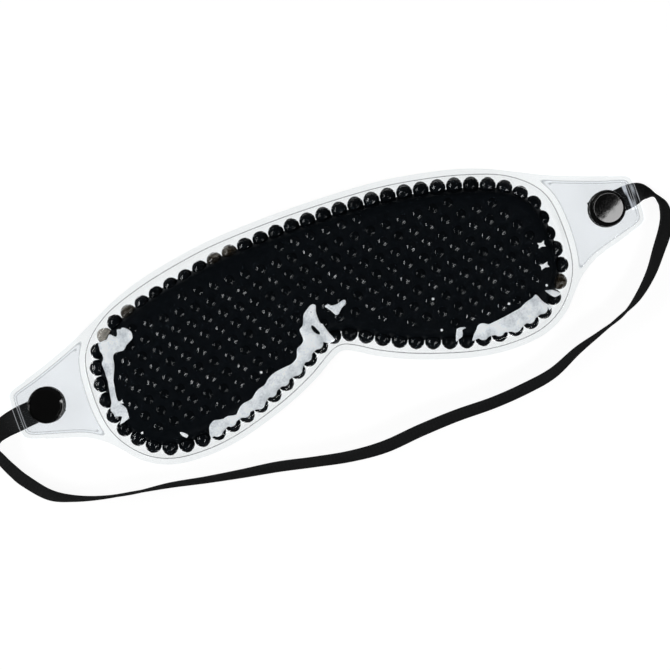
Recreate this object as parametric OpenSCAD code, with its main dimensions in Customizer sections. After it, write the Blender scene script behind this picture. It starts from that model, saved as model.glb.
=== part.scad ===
/* [Pouch] */
// Width of the bead pouch between the seams at its two ends
pouch_w = 166.4; // [150:0.2:172]
// Height of the brow seam above the line through the snaps
brow_h = 33; // [28:0.5:38]
// Depth of the cheek seams below the line through the snaps
cheek_h = 31.8; // [28:0.2:36]
// Depth of the nose notch's seam below the line through the snaps
nose_h = 13.6; // [12.4:0.2:18]
// Thickness of the filled pouch as it lies on a table
pouch_t = 11; // [11:0.2:13]
// Distance over which each film curves from the seam to its flat middle
edge_run = 12; // [11.4:0.2:12.6]
// Thickness of one film
film_t = 0.35; // [0.2:0.05:0.4]
// Width of the welded rim outside the seam
rim_w = 2; // [1.5:0.1:4]

/* [Ears] */
// Distance between the centres of the two snaps
snap_span = 198; // [192:1:210]
// Length of each ear beyond the centre of its snap
ear_reach = 11.3; // [9:0.1:16]
// Height of each ear at its outer end
ear_end_h = 15.6; // [13:0.2:20]
// How far the ear's slanted edges spread between its outer end and the snap's centre
ear_flare = 3; // [1:0.1:5]
// Rounding of the ear's two outer corners
ear_corner = 2.4; // [1.6:0.1:3]

/* [Beads] */
// Diameter of a gel bead
bead_d = 5.4; // [5.2:0.1:5.6]
// Least clearance between two beads, and between a bead and a film
bead_gap = 0.1; // [0.05:0.01:0.15]
// Least distance from the seam to the row of beads that follows it
edge_gap = 0.8; // [0.8:0.1:1.2]
// Depth of the pool of carrier fluid on the back film
pool_t = 0.2; // [0.1:0.05:0.25]

/* [Snaps] */
// Diameter of the visible caps
cap_d = 12.4; // [11:0.2:13]
// Thickness of a cap at its raised rim
cap_t = 1.2; // [1.1:0.1:1.4]
// Bevel on the edges of the snap's mouldings
snap_edge = 0.25; // [0.1:0.05:0.3]
// Width of a cap's raised rim
cap_rim_w = 0.8; // [0.6:0.1:1.6]
// Depth of the dish inside a cap's rim
cap_dish = 0.5; // [0.3:0.05:0.6]
// Diameter of a cap's post
post_d = 1.9; // [1.6:0.1:2.2]
// Diameter of the head that clinches a post
head_d = 3.2; // [2.8:0.1:3.4]
// Thickness of the head that clinches a post
head_t = 0.45; // [0.35:0.05:0.5]
// Diameter of the socket and of the stud's base
snap_d = 9.6; // [9:0.2:10.6]
// Thickness of the socket's plate and of the stud's base
plate_t = 0.75; // [0.6:0.05:0.8]
// Outer diameter of the stud's knob
knob_d = 5.8; // [5.4:0.1:6]
// Wall of the stud's knob
knob_wall = 0.9; // [0.8:0.05:0.95]
// Depth of the socket below its plate
socket_depth = 1.4; // [1.3:0.05:1.5]
// Radial clearance of a knob in its socket
snap_fit = 0.12; // [0.08:0.01:0.2]
// Radial clearance of a post in its holes
post_fit = 0.1; // [0.05:0.01:0.15]

/* [Strap] */
// Width of the elastic
strap_w = 8; // [7.5:0.5:8]
// Thickness of the elastic
strap_t = 1; // [0.8:0.05:1]
// Bevel along the edges of the elastic
strap_edge = 0.25; // [0.1:0.05:0.3]
// Length of the strap's flat end beyond the centre of its snap
strap_end = 5; // [4.5:0.1:5.5]

/* [Hidden] */
$fn = 64;

// Heights: the weld between the films, then the snap's layers hung below the ear
weld_z = pouch_t / 2;
snap_x = snap_span / 2;
ear_low_z = weld_z - film_t;
plate_low_z = ear_low_z - plate_t;
layer_gap = 0.05;
through = 1;
stud_top_z = plate_low_z - socket_depth - layer_gap;
strap_top_z = stud_top_z - plate_t;
strap_low_z = strap_top_z - strap_t;
cap_low_z = strap_low_z - cap_t;

// The pouch's seam, right half, as shares of its half width and of its heights:
// along the brow, round the end to the lowest point of the cheek, and up to the nose
brow_shape = [[0, 1], [0.3, 0.976], [0.5, 0.912], [0.7, 0.797], [0.862, 0.636], [0.971, 0.37]];
end_shape = [[1, 0], [0.984, 0.453], [0.907, 0.777], [0.8, 0.953], [0.66, 1]];
nose_shape = [[0.5, 0.918], [0.3, 0.643], [0.153, 0.352], [0.052, 0.077], [0, 0]];
seam_knots = concat(
    [for (k = brow_shape) [k[0] * pouch_w / 2, k[1] * brow_h]],
    [for (k = end_shape) [k[0] * pouch_w / 2, -k[1] * cheek_h]],
    [for (k = nose_shape) [k[0] * pouch_w / 2, -nose_h - k[1] * (cheek_h - nose_h)]]);

// A smooth curve through four points in a row, at a share u of the way between the middle two
function along(a, b, c, d, u) =
    0.5 * (2 * b + (c - a) * u + (2 * a - 5 * b + 4 * c - d) * u * u
           + (3 * b - a - 3 * c + d) * u * u * u);

// A list of knots smoothed with a few steps between each pair
function smooth(k, steps) = let (n = len(k) - 1)
    concat([for (i = [0:n - 1], j = [0:steps - 1])
                along(i == 0 ? 2 * k[0] - k[1] : k[i - 1], k[i], k[i + 1],
                      i == n - 1 ? 2 * k[n] - k[n - 1] : k[i + 2], j / steps)],
           [k[n]]);

function flip(p) = [-p[0], p[1]];

// The left half of an outline added to its right half, without doubling the two middle points
function both_halves(h) = concat(h, [for (i = [len(h) - 2:-1:1]) flip(h[i])]);

seam_steps = 4;
seam_half = let (k = seam_knots, n = len(k) - 1)
    [for (i = [0:n], j = [0:i == n ? 0 : seam_steps - 1])
        along(i == 0 ? flip(k[1]) : k[i - 1], k[i], k[min(i + 1, n)],
              i >= n - 1 ? flip(k[n - 1]) : k[i + 2], j / seam_steps)];
seam = both_halves(seam_half);
seam_n = len(seam);

function left_of(v) = [-v[1], v[0]] / norm(v);

// The seam moved inwards by d
function inset(d) = [for (i = [0:seam_n - 1])
    seam[i] - d * left_of(seam[(i + 1) % seam_n] - seam[(i + seam_n - 1) % seam_n])];

// The cut edge: the rim follows the seam, and an ear leaves it between two of its points.
// The two shapes are shares of the way from the pouch to the ear along its slanted edges
ear_top_i = 3 * seam_steps;
ear_low_i = 8 * seam_steps;
ear_top_shape = [[0.19, 0.17], [0.39, 0.4], [0.6, 0.64], [0.8, 0.83]];
ear_low_shape = [[0.7, 0.82], [0.44, 0.59], [0.22, 0.31]];
ear_x = snap_x + ear_reach;
ear_y = ear_end_h / 2;
rim_half = [for (i = [0:len(seam_half) - 1]) inset(-rim_w)[i]];
ear_top = rim_half[ear_top_i];
ear_low = rim_half[ear_low_i];
ear_top_in = [snap_x + 0.1 * ear_reach, ear_y + 1.07 * ear_flare];
ear_low_in = [snap_x - 0.65 * ear_reach, -ear_y - 2.03 * ear_flare];
ear_knots = concat(
    [ear_top],
    [for (k = ear_top_shape) [ear_top[0] + k[0] * (ear_top_in[0] - ear_top[0]),
                              ear_top[1] + k[1] * (ear_top_in[1] - ear_top[1])]],
    [ear_top_in, [ear_x - 0.92 * ear_corner, ear_y + 0.33 * ear_corner],
     [ear_x - 0.12 * ear_corner, ear_y - 0.5 * ear_corner], [ear_x, 0],
     [ear_x - 0.17 * ear_corner, 0.38 * ear_corner - ear_y],
     [ear_x - 1.08 * ear_corner, -ear_y - 0.54 * ear_corner],
     [snap_x + 0.1 * ear_reach, -ear_y - 1.2 * ear_flare], ear_low_in],
    [for (k = ear_low_shape) [ear_low[0] + k[0] * (ear_low_in[0] - ear_low[0]),
                              ear_low[1] + k[1] * (ear_low_in[1] - ear_low[1])]],
    [ear_low]);
cut_half = concat([for (i = [0:ear_top_i - 1]) rim_half[i]], smooth(ear_knots, 4),
                  [for (i = [ear_low_i + 1:len(rim_half) - 1]) rim_half[i]]);

// The elastic's free run, as [x, y, tilt]: from the left snap out past the ear, round, along
// below the cheeks and back to the right snap; the tilt is how far it is turned on its edge
strap_route = [
    [-105, -0.8, 0], [-110, -1.4, 8], [-115, -2.4, 30], [-119, -4.4, 48], [-121, -8.2, 60],
    [-119.2, -12.6, 63], [-116.8, -17.4, 61], [-114.2, -21.6, 60], [-108.2, -28.5, 64],
    [-101.1, -32.3, 76], [-92.1, -35.2, 85], [-81, -37.3, 89], [-69, -38.9, 81],
    [-57, -41.2, 77], [-45, -43.2, 72], [-33, -45, 67], [-21, -47.5, 67], [-9, -49.7, 65],
    [3, -50.5, 62], [16, -49.3, 62], [29, -48.6, 63], [42, -48.6, 64], [54, -47.6, 64],
    [64, -45.8, 66], [74, -41.5, 73], [83, -38.5, 83], [92, -35.3, 89], [99.2, -31.2, 75],
    [105.8, -25.2, 66], [110.9, -18.7, 59], [114.8, -13.5, 56], [116.8, -9.5, 58],
    [117.3, -5.5, 66], [116.6, -3, 76], [115.5, -0.9, 82], [113.6, 0.6, 63],
    [110.5, 1.7, 35], [105, 1.2, 0]];
strap_steps = 2;

// Height of a ribbon's middle when it stands tilted on the table, or lies on the strap cap
function strap_z(tilt) =
    max((strap_low_z + strap_top_z) / 2, (strap_w * sin(tilt) + strap_t * cos(tilt)) / 2);

// The half thickness of the room between the films at a distance d inside the seam
function room(d) = let (u = 1 - min(1, (d - film_t) / (edge_run - film_t)))
    (weld_z - film_t) * sqrt(1 - u * u);

// Points at equal steps along the closed curve p, no closer together than pitch; the first
// stands row_start steps from the curve's start
row_start = 0.61;
function evenly(p, pitch) = let (
        q = concat(p, [p[0]]),
        s = [for (i = 0, t = 0; i < len(q);
                  t = t + (i < len(p) ? norm(q[i + 1] - q[i]) : 0), i = i + 1) t],
        n = floor(s[len(p)] / pitch),
        xs = [for (i = [0:len(p)]) [s[i], q[i][0]]],
        ys = [for (i = [0:len(p)]) [s[i], q[i][1]]])
    [for (i = [0:n - 1]) let (t = (i + row_start) * s[len(p)] / n) [lookup(t, xs), lookup(t, ys)]];

bead_r = bead_d / 2;
pitch = bead_d + bead_gap;
// How much further in than edge_gap the beads of that row have sagged at each knot of the
// seam: over the brow to the right end, along the right cheek to the nose, and back on the left
row_sag = [0.3, 0, 0, 0, 0.6, 1.6, 2.4, 0.4, 0.7, 0.7, 0.7, 0.4, 0.6, 0.7, 0.3,
           0.3, 0.5, 0.8, 0.4, 0.4, 0.4, 0.3, 0.7, 0.4, 0.4, 0.5, 0.3, 1.5, 1.8, 1];
row = let (k = [for (i = [0:len(row_sag)]) [i * seam_steps, row_sag[i % len(row_sag)]]])
    [for (i = [0:seam_n - 1]) inset(edge_gap + bead_r + lookup(i, k))[i]];
edge_places = [for (p = evenly(row, pitch * 1.006)) [p[0], p[1], weld_z]];
edge_n = len(edge_places);

// The paler beads of that row, as shares of the way round it
smoky_shares = [0.283, 0.804, 0.833, 0.92, 0.935];
function is_smoky(i) = len([for (k = smoky_shares) if (floor(k * edge_n) == i) k]) > 0;

// True where p lies inside the closed outline q
function inside(p, q) = let (n = len(q)) len([for (i = [0:n - 1])
    let (a = q[i], b = q[(i + 1) % n])
    if ((a[1] > p[1]) != (b[1] > p[1])
        && p[0] < a[0] + (p[1] - a[1]) * (b[0] - a[0]) / (b[1] - a[1])) 1]) % 2 == 1;

function seam_distance(p) = min([for (q = seam) norm([p[0], p[1]] - q)]);

// True where a bead at p keeps its clearance from every bead in list q
function is_free(p, q) = len([for (b = q) if (norm(p - b) < pitch) 1]) == 0;

// The two layers are close-packed rows that sag with the brow; the lower layer sits in the
// hollows between the upper beads
row_pitch = pitch * sqrt(3) / 2;
row_n = ceil((brow_h + cheek_h) / row_pitch / 2) + 1;
column_n = ceil(pouch_w / pitch / 2);
function lattice(shift, run) = let (outline = inset(run))
    [for (r = [-row_n:row_n], c = [-column_n:column_n])
        let (p = [(c + (abs(r) % 2) / 2) * pitch, r * row_pitch] + shift)
        if (inside(p, outline)) p];
upper_run = edge_gap + 1.4 * bead_d;
function upper_places() =
    [for (p = lattice([0, 0], upper_run))
        let (q = [p[0], p[1], weld_z + room(seam_distance(p)) - bead_r - bead_gap])
        if (is_free(q, edge_places)) q];
function lower_places() = let (above = concat(edge_places, upper_places()),
                               z = film_t + pool_t + bead_gap + bead_r)
    [for (p = lattice([pitch / 2, row_pitch / 3], edge_run))
        let (q = [p[0], p[1], z]) if (is_free(q, above)) q];

// One film's dome on the weld plane: an outer and an inner skin of rings, closed at the seam
dome_steps = 5;
module dome() {
    rings = concat(
        [for (j = [0:dome_steps]) let (a = 90 * j / dome_steps)
            [for (p = inset(edge_run * (1 - cos(a)))) [p[0], p[1], weld_z * sin(a)]]],
        [for (j = [dome_steps:-1:0]) let (a = 90 * j / dome_steps)
            [for (p = inset(film_t + (edge_run - film_t) * (1 - cos(a))))
                [p[0], p[1], (weld_z - film_t) * sin(a)]]]);
    n = seam_n;
    skins = [for (r = [0:2 * dome_steps + 1], i = [0:n - 1])
        if (r != dome_steps) let (a = r * n + i, b = r * n + (i + 1) % n,
                                  c = (a + n) % (n * len(rings)), d = (b + n) % (n * len(rings)))
            [[a, b, c], [b, d, c]]];
    polyhedron([for (r = rings, p = r) p], concat(
        [for (s = skins, t = s) t],
        [[for (i = [0:n - 1]) dome_steps * n + i],
         [for (i = [n - 1:-1:0]) (dome_steps + 1) * n + i]]));
}

// The hole for a cap's post through a layer t thick that lies on z = 0
module post_hole(t) {
    translate([0, 0, -through]) cylinder(d = post_d + 2 * post_fit, h = t + 2 * through);
}

// The flat welded part of a film, ears included, from the weld plane up
module flange() {
    difference() {
        linear_extrude(film_t) difference() {
            polygon(both_halves(cut_half));
            polygon(inset(film_t / 2));
        }
        for (s = [-1, 1]) translate([s * snap_x, 0, 0]) post_hole(film_t);
    }
}

module front_film() {
    color([0.85, 0.88, 0.9, 0.4]) translate([0, 0, weld_z]) {
        flange();
        dome();
    }
}

module back_film() {
    color([0.85, 0.88, 0.9, 0.4]) translate([0, 0, weld_z]) mirror([0, 0, 1]) {
        flange();
        dome();
    }
}

module beads(places) {
    for (p = places) translate(p) sphere(d = bead_d, $fn = 24);
}

module edge_beads() {
    color([0.05, 0.05, 0.06]) beads([for (i = [0:edge_n - 1]) if (!is_smoky(i)) edge_places[i]]);
}

module smoky_beads() {
    color([0.4, 0.38, 0.36]) beads([for (i = [0:edge_n - 1]) if (is_smoky(i)) edge_places[i]]);
}

module upper_beads() {
    color([0.05, 0.05, 0.07]) beads(upper_places());
}

module lower_beads() {
    color([0.05, 0.05, 0.07]) beads(lower_places());
}

module carrier_fluid() {
    color([0.2, 0.22, 0.26]) translate([0, 0, film_t])
        linear_extrude(pool_t) polygon(inset(edge_run + 1));
}

// A cap from its outer face down to the clinched head of its post, that face at z = 0
module cap(grip) {
    r = cap_d / 2;
    head_z = -cap_t - grip;
    rotate_extrude() polygon([
        [0, -cap_dish], [r - cap_rim_w - cap_dish, -cap_dish], [r - cap_rim_w, 0],
        [r - snap_edge, 0], [r, -snap_edge], [r, snap_edge - cap_t], [r - snap_edge, -cap_t],
        [post_d / 2, -cap_t], [post_d / 2, head_z], [head_d / 2, head_z],
        [head_d / 2, head_z + snap_edge - head_t], [head_d / 2 - snap_edge, head_z - head_t],
        [0, head_z - head_t]]);
}

module ear_cap() {
    color([0.05, 0.05, 0.05]) translate([0, 0, weld_z + film_t + cap_t]) cap(2 * film_t + plate_t);
}

module strap_cap() {
    color([0.05, 0.05, 0.05]) translate([0, 0, cap_low_z]) mirror([0, 0, 1])
        cap(strap_t + plate_t);
}

module socket() {
    wall_r = knob_d / 2 + snap_fit;
    mouth_z = plate_low_z - socket_depth;
    color([0.1, 0.1, 0.1]) rotate_extrude() polygon([
        [post_d / 2 + post_fit, ear_low_z], [snap_d / 2 - snap_edge, ear_low_z],
        [snap_d / 2, ear_low_z - snap_edge], [snap_d / 2, mouth_z], [wall_r + snap_edge, mouth_z],
        [wall_r, mouth_z + snap_edge], [wall_r, plate_low_z],
        [post_d / 2 + post_fit, plate_low_z]]);
}

module stud() {
    knob_top_z = plate_low_z - snap_fit;
    knob_in_r = knob_d / 2 - knob_wall;
    color([0.1, 0.1, 0.1]) rotate_extrude() polygon([
        [post_d / 2 + post_fit, strap_top_z], [snap_d / 2, strap_top_z],
        [snap_d / 2, stud_top_z - snap_edge], [snap_d / 2 - snap_edge, stud_top_z],
        [knob_d / 2 - snap_edge, stud_top_z], [knob_d / 2, stud_top_z + 2 * snap_edge],
        [knob_d / 2, knob_top_z - snap_edge], [knob_d / 2 - snap_edge, knob_top_z],
        [knob_in_r, knob_top_z],
        [knob_in_r, stud_top_z], [post_d / 2 + post_fit, stud_top_z]]);
}

module left_ear_cap() { translate([-snap_x, 0, 0]) ear_cap(); }
module right_ear_cap() { translate([snap_x, 0, 0]) ear_cap(); }
module left_socket() { translate([-snap_x, 0, 0]) socket(); }
module right_socket() { translate([snap_x, 0, 0]) socket(); }
module left_stud() { translate([-snap_x, 0, 0]) stud(); }
module right_stud() { translate([snap_x, 0, 0]) stud(); }
module left_strap_cap() { translate([-snap_x, 0, 0]) strap_cap(); }
module right_strap_cap() { translate([snap_x, 0, 0]) strap_cap(); }

// The flat end of the strap with the hole for the strap cap's post
module strap_tab(side) {
    start = strap_route[side < 0 ? 0 : len(strap_route) - 1];
    tip = [start[0] + side * strap_t / 2, start[1]];
    inner = [side * (snap_x - strap_end), 0];
    half = [0, strap_w / 2];
    translate([0, 0, strap_low_z]) difference() {
        linear_extrude(strap_t) polygon([inner - half, tip - half, tip + half, inner + half]);
        translate([side * snap_x, 0, 0]) post_hole(strap_t);
    }
}

module elastic_strap() {
    w = strap_w / 2;
    t = strap_t / 2;
    e = strap_edge;
    section = [[w - e, t], [e - w, t], [-w, t - e], [-w, e - t],
               [e - w, -t], [w - e, -t], [w, e - t], [w, t - e]];
    route = smooth(strap_route, strap_steps);
    n = len(route) - 1;
    m = len(section);
    points = [for (i = [0:n]) let (
            step = route[min(i + 1, n)] - route[max(i - 1, 0)],
            side = left_of([i == 0 || i == n ? -1 : step[0], i == 0 || i == n ? 0 : step[1]]),
            tilt = route[i][2],
            across = [side[0] * cos(tilt), side[1] * cos(tilt), sin(tilt)],
            up = [-side[0] * sin(tilt), -side[1] * sin(tilt), cos(tilt)],
            middle = [route[i][0], route[i][1], strap_z(tilt)])
        for (p = section) middle + p[0] * across + p[1] * up];
    skin = [for (i = [0:n - 1], j = [0:m - 1])
        let (a = i * m + j, b = i * m + (j + 1) % m) [[a, a + m, b], [b, a + m, b + m]]];
    color([0.08, 0.08, 0.08]) {
        strap_tab(-1);
        strap_tab(1);
        polyhedron(points, concat([for (s = skin, t = s) t],
            [[for (j = [0:m - 1]) j], [for (j = [m - 1:-1:0]) n * m + j]]));
    }
}

front_film();
back_film();
edge_beads();
smoky_beads();
upper_beads();
lower_beads();
carrier_fluid();
left_ear_cap();
right_ear_cap();
left_socket();
right_socket();
left_stud();
right_stud();
left_strap_cap();
right_strap_cap();
elastic_strap();
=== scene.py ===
import bmesh
import bpy
import numpy as np
from math import pi, radians
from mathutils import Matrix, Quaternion, Vector


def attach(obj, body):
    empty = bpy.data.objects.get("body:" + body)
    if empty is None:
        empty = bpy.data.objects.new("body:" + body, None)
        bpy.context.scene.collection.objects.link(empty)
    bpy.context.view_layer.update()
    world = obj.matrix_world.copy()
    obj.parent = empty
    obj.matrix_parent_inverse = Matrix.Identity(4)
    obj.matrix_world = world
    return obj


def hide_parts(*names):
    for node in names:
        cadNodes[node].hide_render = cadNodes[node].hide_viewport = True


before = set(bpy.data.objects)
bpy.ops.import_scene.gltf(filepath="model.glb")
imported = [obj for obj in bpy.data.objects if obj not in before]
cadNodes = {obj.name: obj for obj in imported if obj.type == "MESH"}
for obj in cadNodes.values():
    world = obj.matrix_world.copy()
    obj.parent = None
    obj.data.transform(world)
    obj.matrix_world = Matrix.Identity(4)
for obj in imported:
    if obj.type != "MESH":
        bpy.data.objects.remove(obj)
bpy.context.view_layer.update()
mm = 0.001  # shapes and places are in millimetres, and the materials' own sizes in metres
chunk = 4000  # points measured at a time, which keeps the arrays small
rng = np.random.default_rng(7)
print("frame loaded:", len(cadNodes), "nodes")


def smoothCurve(knots, steps, closed=False):
    # Catmull-Rom curve: each span is a cubic through its two knots, with its ends' slopes
    # taken from the knots on either side
    k = np.asarray(knots, float)
    if closed:
        a, b, c, d = np.roll(k, 1, 0), k, np.roll(k, -1, 0), np.roll(k, -2, 0)
    else:
        p = np.vstack([2 * k[0] - k[1], k, 2 * k[-1] - k[-2]])
        a, b, c, d = p[:-3], p[1:-2], p[2:-1], p[3:]
    u = (np.arange(steps) / steps)[None, :, None]
    a, b, c, d = (q[:, None, :] for q in (a, b, c, d))
    curve = 0.5 * (2 * b + (c - a) * u + (2 * a - 5 * b + 4 * c - d) * u ** 2
                   + (3 * b - a - 3 * c + d) * u ** 3)
    curve = curve.reshape(-1, k.shape[1])
    return curve if closed else np.vstack([curve, k[-1]])


def lengthsAlong(points):
    # running length of a polyline, starting at 0
    return np.concatenate([[0], np.cumsum(np.linalg.norm(np.diff(points, axis=0), axis=1))])


def atShares(points, shares):
    # points of a polyline at given shares of its length
    s = lengthsAlong(points)
    return np.stack([np.interp(shares * s[-1], s, points[:, i])
                     for i in range(points.shape[1])], 1)


def distanceTo(points, line):
    # shortest distance from each point to a polyline, segment by segment
    a, b = line[:-1], line[1:]
    ab = b - a
    found = []
    for start in range(0, len(points), chunk):
        p = points[start:start + chunk, None, :] - a[None]
        t = np.clip((p * ab).sum(2) / np.maximum((ab * ab).sum(1), 1e-12), 0, 1)
        found.append(np.linalg.norm(p - t[..., None] * ab, axis=2).min(1))
    return np.concatenate(found)


def gridFaces(rows, columns, closed=False):
    # quads between neighbouring rows of a grid whose rows may close on themselves
    c = np.arange(columns if closed else columns - 1)
    r = np.arange(rows - 1)[:, None]
    right = (c + 1) % columns
    return np.stack([r * columns + c, r * columns + right,
                     (r + 1) * columns + right, (r + 1) * columns + c], 2).reshape(-1, 4)


def makePiece(name, points, faces, body, material, replaced=(), smooth=True,
              attributes=None, merge=0.0):
    # a mesh in metres from points in millimetres, riding one body of the frame
    mesh = bpy.data.meshes.new(name)
    mesh.from_pydata((np.asarray(points) * mm).tolist(), [], [list(f) for f in faces])
    for key, values in (attributes or {}).items():
        mesh.attributes.new(key, "FLOAT", "POINT").data.foreach_set(
            "value", np.asarray(values, np.float32))
    if merge:
        bm = bmesh.new()
        bm.from_mesh(mesh)
        bmesh.ops.remove_doubles(bm, verts=bm.verts, dist=merge * mm)
        bmesh.ops.dissolve_degenerate(bm, edges=bm.edges, dist=merge * mm)
        bm.to_mesh(mesh)
        bm.free()
    mesh.validate()
    mesh.polygons.foreach_set("use_smooth", [smooth] * len(mesh.polygons))
    piece = bpy.data.objects.new(name, mesh)
    bpy.context.scene.collection.objects.link(piece)
    mesh.materials.append(material)
    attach(piece, body)
    if replaced:
        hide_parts(*replaced)
    return piece


def thicken(piece, depth, sharpAngle):
    # gives a sheet its wall, inwards from its outer face, with crisp cut edges
    wall = piece.modifiers.new("wall", "SOLIDIFY")
    wall.thickness = depth * mm
    wall.offset = -1
    graph = bpy.context.evaluated_depsgraph_get()
    mesh = bpy.data.meshes.new_from_object(piece.evaluated_get(graph))
    piece.modifiers.clear()
    mesh.set_sharp_from_angle(angle=radians(sharpAngle))
    piece.data = mesh


def put(tree, kind, inputs=None, **settings):
    # a node with its settings, each input given a value or linked to a socket
    node = tree.nodes.new(kind)
    for key, value in settings.items():
        setattr(node, key, value)
    for key, value in (inputs or {}).items():
        if isinstance(value, bpy.types.NodeSocket):
            tree.links.new(value, node.inputs[key])
        else:
            node.inputs[key].default_value = value
    return node


def calc(tree, operation, *values, clamp=False):
    # one step of arithmetic, given back as its output
    return put(tree, "ShaderNodeMath", dict(enumerate(values)), operation=operation,
               use_clamp=clamp).outputs[0]


def markOn(tree, name):
    # a value that the mesh carries in an attribute
    return put(tree, "ShaderNodeAttribute", attribute_name=name).outputs["Fac"]


def blendColour(tree, share, a, b):
    # colour a at a share of 0, and b at a share of 1
    return put(tree, "ShaderNodeMix", {0: share, 6: a, 7: b}, data_type="RGBA").outputs[2]


def newMaterial(name):
    # an empty material with its tree and its output
    material = bpy.data.materials.new(name)
    material.use_nodes = True
    tree = material.node_tree
    tree.nodes.clear()
    return material, tree, put(tree, "ShaderNodeOutputMaterial")


def newGroup(name, inputs, outputs):
    # a node group with named sockets, and its two ends
    group = bpy.data.node_groups.new(name, "ShaderNodeTree")
    for socket, kind, value in inputs:
        made = group.interface.new_socket(socket, in_out="INPUT", socket_type=kind)
        made.default_value = value
    for socket, kind in outputs:
        group.interface.new_socket(socket, in_out="OUTPUT", socket_type=kind)
    return group, put(group, "NodeGroupInput"), put(group, "NodeGroupOutput")


def useGroup(tree, group, inputs):
    # a node group placed in a material with its own values
    return put(tree, "ShaderNodeGroup", inputs, node_tree=group)


def makeUneven():
    # uneven patches and fine grain, read from the piece's own coordinates
    group, came, left = newGroup(
        "uneven", [("Patch Size", "NodeSocketFloat", 300), ("Grain Size", "NodeSocketFloat", 2500),
                   ("Low", "NodeSocketFloat", 0.2), ("High", "NodeSocketFloat", 0.4)],
        [("Value", "NodeSocketFloat"), ("Patches", "NodeSocketFloat"),
         ("Grain", "NodeSocketFloat")])
    place = put(group, "ShaderNodeTexCoord").outputs["Object"]
    patches = put(group, "ShaderNodeTexNoise", {
        "Vector": place, "Scale": came.outputs["Patch Size"], "Detail": 4.0}).outputs["Fac"]
    grain = put(group, "ShaderNodeTexNoise", {
        "Vector": place, "Scale": came.outputs["Grain Size"], "Detail": 2.0}).outputs["Fac"]
    both = calc(group, "MULTIPLY_ADD", grain, 0.35, calc(group, "MULTIPLY", patches, 0.65))
    spread = put(group, "ShaderNodeMapRange", {
        "Value": both, "From Min": 0.35, "From Max": 0.65, "To Min": came.outputs["Low"],
        "To Max": came.outputs["High"]}).outputs[0]
    for name, socket in (("Value", spread), ("Patches", patches), ("Grain", grain)):
        group.links.new(socket, left.inputs[name])
    return group


def makeWeldLine():
    # a thin line, soft at its sides, where a distance passes a given place
    group, came, left = newGroup(
        "weldLine", [("Distance", "NodeSocketFloat", 0), ("Place", "NodeSocketFloat", 0),
                     ("Half Width", "NodeSocketFloat", 0.15)], [("Mask", "NodeSocketFloat")])
    away = calc(group, "ABSOLUTE", calc(group, "SUBTRACT", came.outputs["Distance"],
                                        came.outputs["Place"]))
    mask = calc(group, "SUBTRACT", 1.0, calc(group, "DIVIDE", away, came.outputs["Half Width"]),
                clamp=True)
    group.links.new(calc(group, "SMOOTH_MIN", mask, 1.0, 0.2), left.inputs["Mask"])
    return group


unevenGroup = makeUneven()
lineGroup = makeWeldLine()


view = {"x": -0.5, "y": -9.8, "height": 1205.5, "turn": -19.32, "width": 223.3, "level": 5.5,
        "sensor": 36, "nearest": 0.01, "farthest": 20}


def makeCamera():
    # it looks straight down, and sees the given width at the level of the weld
    camera = bpy.data.objects.new("camera", bpy.data.cameras.new("camera"))
    camera.data.sensor_width = view["sensor"]
    camera.data.lens = view["sensor"] * (view["height"] - view["level"]) / view["width"]
    camera.data.clip_start, camera.data.clip_end = view["nearest"], view["farthest"]
    camera.location = (view["x"] * mm, view["y"] * mm, view["height"] * mm)
    camera.rotation_euler = (0, 0, radians(view["turn"]))
    bpy.context.scene.collection.objects.link(camera)
    bpy.context.scene.camera = camera


makeCamera()


strap = {"width": 8, "thick": 1, "edge": 0.25, "lieAt": 1.7, "steps": 8, "sharp": 50,
         "ribs": 11, "stitches": 5.2, "slant": 1.3, "grooves": 0.00012,
         "black": (0.011, 0.0115, 0.012, 1), "worn": (0.024, 0.025, 0.026, 1)}

strapRoute = np.array([  # x, y and how far it is turned on its edge, in degrees
    [-94, 0, 0], [-99.5, -0.3, 0],
    [-105, -0.8, 0], [-110, -1.4, 8], [-115, -2.4, 30], [-119, -4.4, 48], [-121, -8.2, 60],
    [-119.2, -12.6, 63], [-116.8, -17.4, 61], [-114.2, -21.6, 60], [-108.2, -28.5, 64],
    [-101.1, -32.3, 76], [-92.1, -35.2, 85], [-81, -37.3, 89], [-69, -38.9, 81],
    [-57, -41.2, 77], [-45, -43.2, 72], [-33, -45, 67], [-21, -47.5, 67], [-9, -49.7, 65],
    [3, -50.5, 62], [16, -49.3, 62], [29, -48.6, 63], [42, -48.6, 64], [54, -47.6, 64],
    [64, -45.8, 66], [74, -41.5, 73], [83, -38.5, 83], [92, -35.3, 89], [99.2, -31.2, 75],
    [105.8, -25.2, 66], [110.9, -18.7, 59], [114.8, -13.5, 56], [116.8, -9.5, 58],
    [117.3, -5.5, 66], [116.6, -3, 76], [115.5, -0.9, 82], [113.6, 0.6, 63],
    [110.5, 1.7, 35], [105, 1.2, 0], [99.5, 0.6, 0], [94, 0, 0]])


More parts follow.
